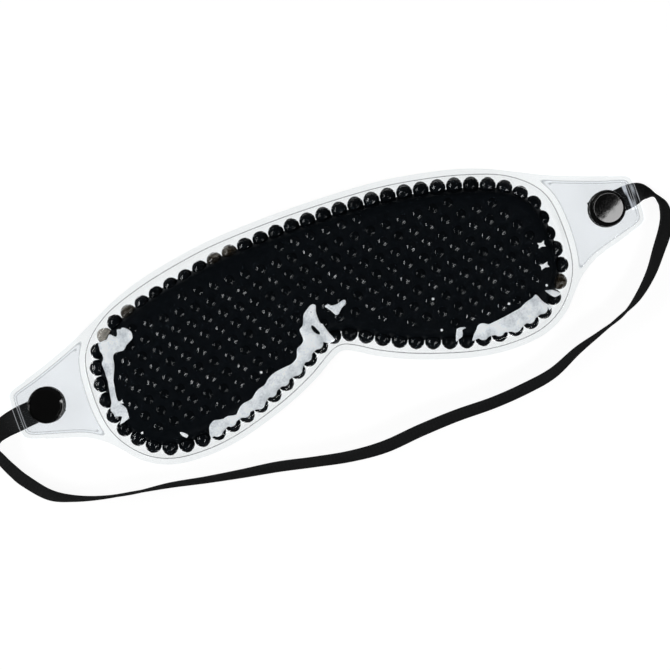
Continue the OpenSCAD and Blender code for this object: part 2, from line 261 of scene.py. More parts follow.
def strapMaterial():
    # braided elastic: lengthwise ribs with slanting stitches between them
    material, tree, out = newMaterial("blackElastic")
    uv = put(tree, "ShaderNodeSeparateXYZ",
             {0: put(tree, "ShaderNodeUVMap", uv_map="ribbon").outputs[0]})
    across, along = uv.outputs[0], uv.outputs[1]
    rib = calc(tree, "SINE", calc(tree, "MULTIPLY", across, 2 * pi * strap["ribs"]))
    slant = calc(tree, "SINE", calc(tree, "MULTIPLY_ADD", along, strap["stitches"],
                                    calc(tree, "MULTIPLY", rib, strap["slant"])))
    weave = calc(tree, "MULTIPLY_ADD", slant, 0.3, calc(tree, "MULTIPLY", rib, 0.7))
    uneven = useGroup(tree, unevenGroup, {"Patch Size": 90.0, "Grain Size": 6000.0,
                                          "Low": 0.0, "High": 1.0})
    share = calc(tree, "MULTIPLY", uneven.outputs["Value"],
                 calc(tree, "MULTIPLY_ADD", weave, 0.4, 0.6))
    height = calc(tree, "MULTIPLY_ADD", uneven.outputs["Grain"], 0.5, weave)
    bump = put(tree, "ShaderNodeBump", {"Strength": 0.55, "Distance": strap["grooves"],
                                        "Height": height})
    shader = put(tree, "ShaderNodeBsdfPrincipled", {
        "Base Color": blendColour(tree, share, strap["black"], strap["worn"]),
        "Roughness": 0.75, "Specular IOR Level": 0.15, "Sheen Weight": 0.02,
        "Sheen Roughness": 0.4, "Normal": bump.outputs[0]})
    tree.links.new(shader.outputs[0], out.inputs[0])
    return material


def makeStrap():
    # a rounded flat section carried along the route, turned about it by the tilt and held so
    # high that its lower edge lies on the table, or level with the snaps at the ends
    route = smoothCurve(strapRoute, strap["steps"])
    tilt = np.radians(route[:, 2])
    w, t, e = strap["width"] / 2, strap["thick"] / 2, strap["edge"]
    centre = np.column_stack([route[:, :2], np.maximum(
        strap["lieAt"], w * np.sin(tilt) + t * np.cos(tilt))])
    step = np.gradient(route[:, :2], axis=0)
    step /= np.linalg.norm(step, axis=1)[:, None]
    side = np.column_stack([-step[:, 1], step[:, 0]])
    across = np.column_stack([side * np.cos(tilt)[:, None], np.sin(tilt)])
    up = np.column_stack([-side * np.sin(tilt)[:, None], np.cos(tilt)])
    turn = np.radians([0, 45, 90])
    corners = [(w - e, t - e, 0), (e - w, t - e, 90), (e - w, e - t, 180), (w - e, e - t, 270)]
    section = np.vstack([np.column_stack([x + e * np.cos(turn + radians(a)),
                                          y + e * np.sin(turn + radians(a))])
                         for x, y, a in corners])
    points = (centre[:, None, :] + section[None, :, :1] * across[:, None, :]
              + section[None, :, 1:] * up[:, None, :])
    n, m = points.shape[:2]
    faces = gridFaces(n, m, closed=True)[:, ::-1].tolist()
    faces += [list(range(m)), [(n - 1) * m + j for j in range(m - 1, -1, -1)]]
    piece = makePiece("elastic", points.reshape(-1, 3), faces, "strap", strapMaterial(),
                      ["elastic_strap"])
    length = lengthsAlong(centre)
    vertexUv = np.column_stack([np.tile(section[:, 0] / (2 * w) + 0.5, n), np.repeat(length, m)])
    loops = np.zeros(len(piece.data.loops), int)
    piece.data.loops.foreach_get("vertex_index", loops)
    piece.data.uv_layers.new(name="ribbon").data.foreach_set("uv", vertexUv[loops].ravel())
    piece.data.set_sharp_from_angle(angle=radians(strap["sharp"]))


makeStrap()
print("strap made")


pouch = {"width": 166.4, "browHeight": 33, "cheekHeight": 31.8, "noseHeight": 13.6,
         "thick": 11, "edgeRun": 12, "filmThick": 0.35, "rim": 2, "quarter": 132,
         "curveSteps": 40, "earSteps": 12, "domeRows": 15, "domeBunching": 1.35,
         "middleRows": 18, "flangeRows": 22}
ear = {"snapX": 99, "reach": 11.3, "endHeight": 15.6, "flare": 3, "corner": 2.4}

browShape = [[0, 1], [0.3, 0.976], [0.5, 0.912], [0.7, 0.797], [0.862, 0.636], [0.971, 0.37]]
endShape = [[1, 0], [0.984, 0.453], [0.907, 0.777], [0.8, 0.953], [0.66, 1]]
noseShape = [[0.5, 0.918], [0.3, 0.643], [0.153, 0.352], [0.052, 0.077], [0, 0]]
earTopShape = np.array([[0.19, 0.17], [0.39, 0.4], [0.6, 0.64], [0.8, 0.83]])
earLowShape = np.array([[0.7, 0.82], [0.44, 0.59], [0.22, 0.31]])
weldZ = pouch["thick"] / 2
flipX = np.array([-1, 1])

# the right half of the seam in three stretches, mirrored for the left half
halfKnots = np.vstack([
    np.array(browShape) * [pouch["width"] / 2, pouch["browHeight"]],
    np.array(endShape) * [pouch["width"] / 2, -pouch["cheekHeight"]],
    np.array(noseShape) * [pouch["width"] / 2, pouch["noseHeight"] - pouch["cheekHeight"]]
    - [0, pouch["noseHeight"]]])
curveSteps = pouch["curveSteps"]
fineSeam = smoothCurve(np.vstack([halfKnots, halfKnots[-2:0:-1] * flipX]), curveSteps,
                       closed=True)
fineSeam = np.vstack([fineSeam, fineSeam[0]])


def leftOf(curve):
    # unit vectors to the left of a closed curve's direction, which point out of the pouch
    step = np.roll(curve, -1, 0) - np.roll(curve, 1, 0)
    return np.column_stack([-step[:, 1], step[:, 0]]) / np.linalg.norm(step, axis=1)[:, None]


# the seam in four runs of as many columns each: brow to end, end to nose, and back on the left
tipKnot, noseKnot = len(browShape), len(halfKnots) - 1
runEnds = [0, tipKnot, noseKnot, 2 * noseKnot - tipKnot, 2 * noseKnot]
shares = np.arange(pouch["quarter"]) / pouch["quarter"]
seamRuns = [atShares(fineSeam[a * curveSteps:b * curveSteps + 1], shares)
            for a, b in zip(runEnds[:-1], runEnds[1:])]
seam = np.vstack(seamRuns)
seamLoop = np.vstack([seam, seam[0]])
seamOut = leftOf(seam)
columns = len(seam)
earStart, earEnd = 3 * curveSteps, 8 * curveSteps  # where the ear's edge leaves the rim


def inset(d):
    # the seam moved into the pouch by a distance
    return seam - d * seamOut


def middleLine(ring):
    # halfway between each point of a ring and its opposite across the pouch, so that the
    # upper and the lower half share the line
    partner = (columns // 2 - np.arange(columns)) % columns
    return (ring + ring[partner]) / 2


def cutEdge():
    # the rim follows the seam, and between two of the seam's points the edge runs round the
    # ear, whose corners are given as shares of its sizes
    fine = fineSeam[:-1]
    rim = fine + pouch["rim"] * leftOf(fine)
    top, low = rim[earStart], rim[earEnd]
    x, c, y = ear["snapX"] + ear["reach"], ear["corner"], ear["endHeight"] / 2
    topIn = np.array([ear["snapX"] + 0.1 * ear["reach"], y + 1.07 * ear["flare"]])
    lowIn = np.array([ear["snapX"] - 0.65 * ear["reach"], -y - 2.03 * ear["flare"]])
    knots = np.vstack([
        [top], top + earTopShape * (topIn - top), [topIn],
        [[x - 0.92 * c, y + 0.33 * c], [x - 0.12 * c, y - 0.5 * c], [x, 0],
         [x - 0.17 * c, 0.38 * c - y], [x - 1.08 * c, -y - 0.54 * c],
         [ear["snapX"] + 0.1 * ear["reach"], -y - 1.2 * ear["flare"]], lowIn],
        low + earLowShape * (lowIn - low), [low]])
    earEdge = smoothCurve(knots, pouch["earSteps"])
    half = columns // 2
    along = lengthsAlong(fineSeam)
    position = lengthsAlong(seamLoop)[:half + 1]
    start, end = along[earStart], along[earEnd]
    share = np.clip((position - start) / (end - start), 0, 1)
    right = seam[:half + 1] + pouch["rim"] * seamOut[:half + 1]
    onEar = (share > 0) & (share < 1)
    right[onEar] = atShares(earEdge, share[onEar])
    return np.vstack([right, right[half - 1:0:-1] * flipX])


cut = cutEdge()
cutLoop = np.vstack([cut, cut[0]])


# crownRings are degrees from the crown, close together where an inner bead shows
bead = {"size": 5.48, "jitter": 0.008, "fine": 3, "around": 10,
        "crownRings": [16, 24, 31, 42, 62, 90, 130]}


def beadCentres(node):
    # each bead of a CAD node is one loose part: the middle of its box is the bead's centre
    mesh = cadNodes[node].data
    bm = bmesh.new()
    bm.from_mesh(mesh)
    bmesh.ops.remove_doubles(bm, verts=bm.verts, dist=1e-6)
    bm.verts.index_update()
    co = np.array([v.co for v in bm.verts])
    pairs = np.array([[e.verts[0].index, e.verts[1].index] for e in bm.edges])
    bm.free()
    label = np.arange(len(co))
    while True:  # the lowest number in each loose part spreads through it
        old = label.copy()
        np.minimum.at(label, pairs[:, 0], label[pairs[:, 1]])
        np.minimum.at(label, pairs[:, 1], label[pairs[:, 0]])
        label = label[label]
        if (old == label).all():
            break
    found = [co[label == k] for k in np.unique(label)]
    return np.array([(part.min(0) + part.max(0)) / 2 for part in found]) / mm


edgeCentres = beadCentres("edge_beads")
smokyCentres = beadCentres("smoky_beads")
upperCentres = beadCentres("upper_beads")
lowerCentres = beadCentres("lower_beads")
print("beads found:", len(edgeCentres), len(smokyCentres), len(upperCentres), len(lowerCentres))


def fineBall():
    # an even ball for the beads of the row, which are seen from the side
    bm = bmesh.new()
    bmesh.ops.create_icosphere(bm, subdivisions=bead["fine"], radius=bead["size"] / 2)
    ball = np.array([v.co for v in bm.verts])
    faces = np.array([[v.index for v in f.verts] for f in bm.faces])
    bm.free()
    return ball, faces


def crownedBall(up):
    # few faces, most of them on the crown, which is all of an inner bead that shows
    tilt = np.radians(bead["crownRings"])
    turn = np.linspace(0, 2 * pi, bead["around"], endpoint=False)
    rings = np.dstack([np.outer(np.sin(tilt), np.cos(turn)), np.outer(np.sin(tilt), np.sin(turn)),
                       np.repeat(np.cos(tilt)[:, None], len(turn), 1)]).reshape(-1, 3)
    ball = np.vstack([[0, 0, 1], rings, [0, 0, -1]]) * bead["size"] / 2
    k = np.arange(len(turn))
    after = (k + 1) % len(turn)
    quads = 1 + gridFaces(len(tilt), len(turn), closed=True)
    last = 1 + len(rings) - len(turn)
    faces = np.vstack([np.column_stack([np.zeros_like(k), 1 + k, 1 + after]),
                       quads[:, [0, 1, 2]], quads[:, [0, 2, 3]],
                       np.column_stack([np.full_like(k, len(ball) - 1), last + after, last + k])])
    corner = ball[faces]
    normal = np.cross(corner[:, 1] - corner[:, 0], corner[:, 2] - corner[:, 0])
    inward = (normal * corner.mean(1)).sum(1) < 0
    faces[inward] = faces[inward][:, ::-1]
    return (ball, faces) if up else (ball * [1, 1, -1], faces[:, ::-1])


def makeBeads(name, centres, shape, material, replaced, tones=None):
    # one round bead copied to every centre, each a shade smaller than its place
    ball, faces = shape
    size = 1 - bead["jitter"] * rng.random(len(centres))
    points = centres[:, None, :] + ball[None] * size[:, None, None]
    tone = np.repeat(rng.random(len(centres)) if tones is None else tones, len(ball))
    crown = np.tile(np.abs(ball[:, 2]) / (bead["size"] / 2), len(centres))
    allFaces = (faces[None] + (np.arange(len(centres)) * len(ball))[:, None, None]).reshape(-1, 3)
    makePiece(name, points.reshape(-1, 3), allFaces, "mask", material, [replaced],
              attributes={"tone": tone, "crown": crown})


# rowWet and deepWet: how high up a bead its shine starts and is full, and its least share
gel = {"black": (0.0040, 0.0050, 0.0061, 1), "navy": (0.0053, 0.0072, 0.0100, 1),
       "rowWet": (0.6, 0.85, 0.12), "deepWet": (0.74, 0.84, 0.0), "leastShine": 0.2,
       "moreShine": 0.85, "shineRough": 0.03, "shineIor": 1.65,
       "smoke": (0.46, 0.43, 0.385, 1), "brown": (0.022, 0.016, 0.010, 1),
       "smokyIor": 1.36, "smokyClear": 0.65, "palest": (-73, 17), "paleSpread": 20,
       "paleLeast": 0.12}


def gelMaterial(name, wet):
    # gel in fluid: near black, and wet only on the crown, where it touches the film; beads
    # differ a little in colour and much in shine
    material, tree, out = newMaterial(name)
    tone, crown = markOn(tree, "tone"), markOn(tree, "crown")
    uneven = useGroup(tree, unevenGroup, {"Patch Size": 260.0, "Grain Size": 1800.0,
                                          "Low": 0.35, "High": 0.55})
    share = calc(tree, "MULTIPLY", tone, uneven.outputs["Patches"])
    touch = put(tree, "ShaderNodeMapRange", {
        "Value": crown, "From Min": wet[0], "From Max": wet[1], "To Min": wet[2],
        "To Max": 1.0}, interpolation_type="SMOOTHSTEP").outputs[0]
    shine = calc(tree, "MULTIPLY_ADD", calc(tree, "MULTIPLY", tone, tone), gel["moreShine"],
                 gel["leastShine"])
    bump = put(tree, "ShaderNodeBump", {"Strength": 0.25, "Distance": 0.0001,
                                        "Height": uneven.outputs["Patches"]})
    shader = put(tree, "ShaderNodeBsdfPrincipled", {
        "Base Color": blendColour(tree, share, gel["black"], gel["navy"]),
        "Roughness": uneven.outputs["Value"], "Specular IOR Level": 0.0, "IOR": 1.5,
        "Coat Weight": calc(tree, "MULTIPLY", touch, shine),
        "Coat Roughness": gel["shineRough"], "Coat IOR": gel["shineIor"],
        "Normal": bump.outputs[0]})
    tree.links.new(shader.outputs[0], out.inputs[0])
    return material


def smokyMaterial():
    # beads that took little dye: cloudy glass, clear grey to brown, palest at the bead's side,
    # where light through the thinner edge is painted in
    material, tree, out = newMaterial("smokyGel")
    tone, crown = markOn(tree, "tone"), markOn(tree, "crown")
    uneven = useGroup(tree, unevenGroup, {"Patch Size": 700.0, "Grain Size": 1500.0,
                                          "Low": 0.0, "High": 1.0})
    # painted light: the colour pales towards the bead's side, as if lit through the thin edge
    rim = calc(tree, "MULTIPLY", calc(tree, "SUBTRACT", 1.0, crown), 0.22)
    cloud = calc(tree, "MULTIPLY_ADD", uneven.outputs["Patches"], 2.2, -1.2)
    share = calc(tree, "ADD", calc(tree, "ADD", cloud, rim), tone, clamp=True)
    bump = put(tree, "ShaderNodeBump", {"Strength": 0.6, "Distance": 0.0002,
                                        "Height": uneven.outputs["Patches"]})
    glass = put(tree, "ShaderNodeBsdfPrincipled", {
        "Base Color": blendColour(tree, share, gel["brown"], gel["smoke"]),
        "Roughness": 0.12, "IOR": gel["smokyIor"], "Transmission Weight": gel["smokyClear"],
        "Normal": bump.outputs[0]})
    clear = put(tree, "ShaderNodeBsdfTransparent")
    path = put(tree, "ShaderNodeLightPath")
    mixed = put(tree, "ShaderNodeMixShader", {0: path.outputs["Is Shadow Ray"],
                                              1: glass.outputs[0], 2: clear.outputs[0]})
    tree.links.new(mixed.outputs[0], out.inputs[0])
    return material


gelBlack = gelMaterial("blackGel", gel["rowWet"])
gelDeep = gelMaterial("deepGel", gel["deepWet"])
makeBeads("rowBeads", edgeCentres, fineBall(), gelBlack, "edge_beads")
# one smoky bead is nearly clear, and the others are the darker the farther they lie from it
paleness = np.exp(-((smokyCentres[:, :2] - gel["palest"]) ** 2).sum(1) / gel["paleSpread"])
makeBeads("smokyRowBeads", smokyCentres, fineBall(), smokyMaterial(),
          "smoky_beads", gel["paleLeast"] + (1 - gel["paleLeast"]) * paleness)
makeBeads("topBeads", upperCentres, crownedBall(True), gelDeep, "upper_beads")
makeBeads("bottomBeads", lowerCentres, crownedBall(False), gelDeep, "lower_beads")
print("beads made")


film = {"ior": 1.3, "clear": (0.950, 0.962, 0.966, 1), "pocket": (0.890, 0.907, 0.922, 1),
        "line": (0.36, 0.38, 0.39, 1), "paintedWeldGlow": (0.10, 0.103, 0.107, 1), "sharp": 55,
        "lump": 0.3, "lumpReach": 0.58, "tautTo": 7, "softOver": 5, "wave": 0.03,
        "wetFrom": 2.3, "wetTo": 2.7, "wetTint": (0.958, 0.966, 0.969, 1),
        "sideFrom": 0.5, "sideTo": 0.75, "weldGap": 0.02,
        "pocketRim": 1.7, "pocketGap": 2.1, "pocketRound": 2.0, "doubleLine": 0.72,
        "doubleAbove": -6, "lineHalf": 0.23, "seamHalf": 0.16, "edgeLine": 0.13, "endFrom": 103,
        # the crease values place and shape the painted highlight beside the right snap
        "creaseFrom": 105.8, "creaseTo": 110.4, "creaseLow": -3.4, "creaseHigh": 5.4,
        "creaseStretch": (1000.0, 130.0, 0.0), "creaseSize": 0.75, "creaseGain": 7.0,
        "creaseShift": -3.4, "paintedCreaseGlint": (0.12, 0.127, 0.138, 1)}
# distance in from the seam, and height over the weld
riseCurve = smoothCurve([[0, 0], [0.8, 1.25], [1.4, 2.15], [1.9, 2.7], [2.2, 2.86], [2.8, 3.06],
                         [3.6, 3.32], [5, 3.8], [6, 4.17], [7, 4.55], [8, 4.86], [9, 5.04],
                         [10.5, 5.14], [12, 5.15]], 12)


def rise(d):
    # how high the film stands over the weld: up steeply beside the row of beads, over it, and
    # on with a gentle slope to the flat middle
    return np.interp(d, riseCurve[:, 0], riseCurve[:, 1])


def lumps(xy, centres):
    # the film sinks between the beads under it, with the square of the distance to the nearest
    nearest = np.concatenate([
        np.sqrt(((xy[start:start + chunk, None, :] - centres[None, :, :2]) ** 2).sum(2)).min(1)
        for start in range(0, len(xy), chunk)])
    return -film["lump"] * np.clip(nearest / (bead["size"] * film["lumpReach"]), 0, 1) ** 2


def waves(xy):
    # slow swells left where the film was folded: a product of two sines and a finer third
    x, y = xy[:, 0], xy[:, 1]
    return film["wave"] * (np.sin(0.21 * x + 0.13 * y) * np.sin(0.17 * y - 0.08 * x + 1.1)
                           + 0.5 * np.sin(0.43 * x - 0.31 * y + 0.6)) - film["wave"]


def softness(xy, centres, d):
    # lumps and waves together: both fade out towards the seam, and the film is taut over the row
    return (lumps(xy, centres) * np.clip((d - film["tautTo"]) / film["softOver"], 0, 1)
            + waves(xy) * np.clip(d / film["softOver"], 0, 1))


def filmHeight(xy, centres, d):
    # height of the front film's outer face at a distance in from the seam
    return weldZ + pouch["filmThick"] + rise(d) + softness(xy, centres, d)


def filmSurface(centres):
    # rings from the cut edge in to the seam, over the dome, and on to the pouch's middle line;
    # with each point go its distances in from the seam and in from the walls of the ear's
    # pocket, whose corners are rounded by a smooth minimum
    flange = np.linspace(0, 1, pouch["flangeRows"] + 1)[:-1]
    rings = [cut + (seam - cut) * t for t in flange]
    runs = [np.full(columns, -1.0)] * len(rings)
    for a in np.linspace(0, 1, pouch["domeRows"] + 1) ** pouch["domeBunching"]:
        rings.append(inset(pouch["edgeRun"] * a))
        runs.append(np.full(columns, pouch["edgeRun"] * a))
    last = rings[-1]
    middle = middleLine(last)
    for t in np.linspace(0, 1, pouch["middleRows"] + 1)[1:]:
        rings.append(last + (middle - last) * t)
        runs.append(np.full(columns, pouch["edgeRun"]))
    xy, d = np.vstack(rings), np.concatenate(runs)
    seamSide = np.where(d >= 0, d, -distanceTo(xy, seamLoop))
    edgeSide = distanceTo(xy, cutLoop) - film["pocketRim"]
    wallSide = -seamSide - film["pocketGap"]
    k = film["pocketRound"]
    h = np.clip(0.5 + (wallSide - edgeSide) / (2 * k), 0, 1)
    pocket = wallSide * (1 - h) + edgeSide * h - k * h * (1 - h)
    # the weld is a double line along the cut edge, but not low on the right ear
    doubled = (edgeSide < wallSide) & ((xy[:, 0] < 0) | (xy[:, 1] > film["doubleAbove"]))
    marks = {"seamSide": seamSide, "pocketSide": pocket, "doubled": doubled.astype(float)}
    return np.column_stack([xy, filmHeight(xy, centres, d)]), marks, len(rings)


def lineAt(tree, distance, place, halfWidth):
    # a weld line where a distance passes a place
    return useGroup(tree, lineGroup, {"Distance": distance, "Place": place,
                                      "Half Width": halfWidth}).outputs[0]


def weldLines(tree, seamSide, pocket):
    # one line along the seam and one or two round each ear's pocket
    second = calc(tree, "MULTIPLY", lineAt(tree, pocket, film["doubleLine"], film["lineHalf"]),
                  markOn(tree, "doubled"))
    first = calc(tree, "MAXIMUM", lineAt(tree, seamSide, 0.0, film["seamHalf"]),
                 lineAt(tree, pocket, 0.0, film["lineHalf"]))
    return calc(tree, "MAXIMUM", first, second)


def paintedCreaseGlints(tree, where, axes):
    # painted highlights: pale streaks beside the right snap, where the strap has pulled the ear,
    # standing in for light caught by the crumpled film
    stretched = put(tree, "ShaderNodeMapping", {"Vector": where, "Scale": film["creaseStretch"]})
    folds = put(tree, "ShaderNodeTexNoise", {
        "Vector": stretched.outputs[0], "Scale": film["creaseSize"], "Detail": 1.0}).outputs["Fac"]
    pale = calc(tree, "MULTIPLY_ADD", folds, film["creaseGain"], film["creaseShift"], clamp=True)
    for axis, side, limit in ((0, "GREATER_THAN", "creaseFrom"), (0, "LESS_THAN", "creaseTo"),
                              (1, "GREATER_THAN", "creaseLow"), (1, "LESS_THAN", "creaseHigh")):
        within = calc(tree, side, axes.outputs[axis], film[limit] * mm)
        pale = calc(tree, "MULTIPLY", pale, within)
    return pale


def filmMaterial():
    # clear vinyl: thin weld lines round the pouch and the ears' pockets, a cool tint in the
    # pockets where two loose films lie on each other, faint haze and ripples; painted highlights:
    # the weld lines and the ears' cut ends glow faintly, and pale streaks beside the right snap
    # stand in for light caught by the film
    material, tree, out = newMaterial("clearVinyl")
    seamSide, pocket = markOn(tree, "seamSide"), markOn(tree, "pocketSide")
    where = put(tree, "ShaderNodeTexCoord").outputs["Object"]
    axes = put(tree, "ShaderNodeSeparateXYZ", {0: where})
    line = weldLines(tree, seamSide, pocket)
    uneven = useGroup(tree, unevenGroup, {"Patch Size": 60.0, "Grain Size": 900.0,
                                          "Low": 0.01, "High": 0.035})
    tint = blendColour(tree, calc(tree, "GREATER_THAN", pocket, 0.0), film["clear"],
                       film["pocket"])
    height = calc(tree, "MULTIPLY_ADD", uneven.outputs["Patches"], 0.6,
                  calc(tree, "MULTIPLY", line, -0.25))
    bump = put(tree, "ShaderNodeBump", {"Strength": 0.5, "Distance": 0.0002, "Height": height})
    # painted highlight: the cut edge glows pale round the ears' ends, and the weld lines glow too
    edge = lineAt(tree, pocket, film["edgeLine"] - film["pocketRim"], film["seamHalf"])
    atEnd = calc(tree, "GREATER_THAN", calc(tree, "ABSOLUTE", axes.outputs[0]),
                 film["endFrom"] * mm)
    # shine is this painted glow of the weld lines and the cut ends
    shine = blendColour(tree, calc(tree, "MAXIMUM", line, calc(tree, "MULTIPLY", edge, atEnd)),
                        (0, 0, 0, 1), film["paintedWeldGlow"])
    glass = put(tree, "ShaderNodeBsdfPrincipled", {
        "Base Color": blendColour(tree, calc(tree, "MULTIPLY", line, 0.8), tint, film["line"]),
        "Roughness": uneven.outputs["Value"], "IOR": film["ior"], "Transmission Weight": 1.0,
        "Normal": bump.outputs[0], "Emission Strength": 1.0,
        "Emission Color": blendColour(tree, paintedCreaseGlints(tree, where, axes), shine,
                                      film["paintedCreaseGlint"])})
    # drawn tight over the beads and wet inside, the film bends no light there until it is
    # seen from the side
    shadow = put(tree, "ShaderNodeLightPath").outputs["Is Shadow Ray"]
    over = put(tree, "ShaderNodeMapRange", {
        "Value": seamSide, "From Min": film["wetFrom"], "From Max": film["wetTo"]},
        interpolation_type="SMOOTHSTEP").outputs[0]
    sideways = put(tree, "ShaderNodeMapRange", {
        "Value": put(tree, "ShaderNodeLayerWeight").outputs["Facing"],
        "From Min": film["sideFrom"], "From Max": film["sideTo"]}).outputs[0]
    seenThrough = calc(tree, "MULTIPLY", over, calc(tree, "SUBTRACT", 1.0, sideways))
    clear = put(tree, "ShaderNodeBsdfTransparent", {"Color": blendColour(
        tree, shadow, film["wetTint"], (1, 1, 1, 1))})
    mixed = put(tree, "ShaderNodeMixShader", {0: calc(tree, "MAXIMUM", shadow, seenThrough),
                                              1: glass.outputs[0], 2: clear.outputs[0]})
    tree.links.new(mixed.outputs[0], out.inputs[0])
    return material


def makeFilm(name, replaced, centres, material, up):
    # the back film is shaped as the front one, turned over about the weld
    points, marks, rows = filmSurface(centres)
    if not up:
        points[:, 2] = 2 * weldZ - points[:, 2]
    faces = gridFaces(rows, columns, closed=True)
    if up:
        faces = faces[:, ::-1]
    piece = makePiece(name, points, faces, "mask", material, [replaced],
                      attributes=marks, merge=0.001)
    thicken(piece, pouch["filmThick"] - film["weldGap"], film["sharp"])
    return piece


vinyl = filmMaterial()
frontBeads = np.vstack([upperCentres, edgeCentres, smokyCentres])
backBeads = np.vstack([lowerCentres, edgeCentres, smokyCentres])
for side in (makeFilm("frontFilm", "front_film", frontBeads, vinyl, True),
             makeFilm("backFilm", "back_film", backBeads, vinyl, False)):
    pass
print("films made")


# side: distances in from the seam and heights over the weld, round the fluid's edge
fluid = {"side": [[4.4, 0.0], [4.9, 1.2], [5.6, 2.2]], "edge": 6.4, "below": 0.9,
         "edgeRings": 8, "middleRings": 20,
         "dark": (0.0040, 0.0051, 0.0064, 1), "glint": (0.0060, 0.0080, 0.0106, 1)}


def filmOver(xy, centres):
    # height of the film's outer face over any place in the pouch
    return filmHeight(xy, centres, distanceTo(xy, seamLoop))


def fluidMaterial():
    # dark fluid with a dull surface, a shade lighter in patches
    material, tree, out = newMaterial("darkFluid")
    uneven = useGroup(tree, unevenGroup, {"Patch Size": 400.0, "Grain Size": 2000.0,
                                          "Low": 0.25, "High": 0.5})
    bump = put(tree, "ShaderNodeBump", {"Strength": 0.3, "Distance": 0.0002,
                                        "Height": uneven.outputs["Patches"]})
    shader = put(tree, "ShaderNodeBsdfPrincipled", {
        "Base Color": blendColour(tree, uneven.outputs["Patches"], fluid["dark"],
                                  fluid["glint"]),
        "Roughness": uneven.outputs["Value"], "Specular IOR Level": 0.05,
        "Normal": bump.outputs[0]})
    tree.links.new(shader.outputs[0], out.inputs[0])
    return material


def makeFluid():
    # the fluid fills the pouch from the row of beads in, and the beads' crowns stand out of it
    rings = [inset(d) for d in np.linspace(fluid["edge"], pouch["edgeRun"], fluid["edgeRings"])]
    last = rings[-1]
    middle = middleLine(last)
    rings += [last + (middle - last) * t for t in np.linspace(0, 1, fluid["middleRings"])[1:]]
    xy, back = np.vstack(rings[::-1]), np.vstack(rings)
    side = [np.column_stack([inset(d), np.full(columns, weldZ + h)]) for d, h in fluid["side"]]
    top = np.column_stack([xy, filmOver(xy, frontBeads) - fluid["below"]])
    low = np.column_stack([back, 2 * weldZ - filmOver(back, backBeads) + fluid["below"]])
    under = [ring * [1, 1, -1] + [0, 0, 2 * weldZ] for ring in side[1:]]
    faces = gridFaces(2 * len(rings) + 2 * len(side) - 1, columns, closed=True)
    makePiece("fluidBody", np.vstack([top] + side[::-1] + under + [low]), faces, "mask",
              fluidMaterial(), ["carrier_fluid"], merge=0.001)


makeFluid()
print("fluid made")


# dishIn and rimIn: how far the dish's floor and its slope end inside the cap's edge
cap = {"size": 12.4, "thick": 1.2, "edge": 0.35, "dish": 0.5, "dishIn": 0.95, "rimIn": 0.42,
       "post": 1.9, "head": 3.2, "headThick": 0.45, "headEdge": 0.15, "clinch": 0.75,
       "around": 96, "sharp": 60, "outward": 0.5, "crown": 0.001, "floorAt": 0.4,
       "floorBlend": 0.1, "lean": 0.052, "leanTo": (0.386, -0.925),
       "black": (0.0035, 0.0035, 0.0036, 1), "dust": (0.006, 0.006, 0.006, 1),
       "gloss": (0.02, 0.05)}
snap = {"black": (0.010, 0.010, 0.011, 1), "dust": (0.022, 0.022, 0.022, 1),
        "gloss": (0.3, 0.5)}
capNodes = {"leftEarCap": "left_ear_cap", "rightEarCap": "right_ear_cap",
            "leftStrapCap": "left_strap_cap", "rightStrapCap": "right_strap_cap"}


def plasticMaterial(name, dark, dust, gloss):
    # moulded plastic: smooth, faintly uneven, with a few dull patches
    material, tree, out = newMaterial(name)
    uneven = useGroup(tree, unevenGroup, {"Patch Size": 220.0, "Grain Size": 3500.0,
                                          "Low": gloss[0], "High": gloss[1]})
    bump = put(tree, "ShaderNodeBump", {"Strength": 0.03, "Distance": 0.0002,
                                        "Height": uneven.outputs["Patches"]})
    shader = put(tree, "ShaderNodeBsdfPrincipled", {
        "Base Color": blendColour(tree, uneven.outputs["Patches"], dark, dust),
        "Roughness": uneven.outputs["Value"], "IOR": 1.5, "Normal": bump.outputs[0]})
    tree.links.new(shader.outputs[0], out.inputs[0])
    return material


def capProfile(grip):
    # radius and height from the dish's middle up its slope, over the rim in half an ellipse,
    # and down the post to its clinched head
    r, e = cap["size"] / 2, cap["edge"]
    turn = np.linspace(pi / 2, -pi / 2, 13)
    floorEnd = r - cap["dishIn"]
    floor = np.column_stack([np.linspace(0, floorEnd - 0.02, 14), np.zeros(14)])
    slope = np.column_stack([np.linspace(floorEnd, r - cap["rimIn"], 6),
                             np.linspace(0.01, cap["dish"], 6)])
    dish = np.vstack([floor, slope])
    dish[:, 1] -= cap["dish"] + cap["crown"] * dish[:, 0] ** 2 / 2
    roll = np.column_stack([r - e + e * np.cos(turn),
                            -cap["thick"] / 2 + (cap["thick"] / 2) * np.sin(turn)])
    post, head, under = cap["post"] / 2, cap["head"] / 2, -cap["thick"]
    headTop, headLow = under - grip, under - grip - cap["headThick"]
    stem = [[post, under], [post, headTop], [head - cap["headEdge"], headTop],
            [head, headTop - cap["headEdge"]], [head - 0.2, headLow], [0, headLow]]
    return np.vstack([dish, roll, stem]), len(dish)


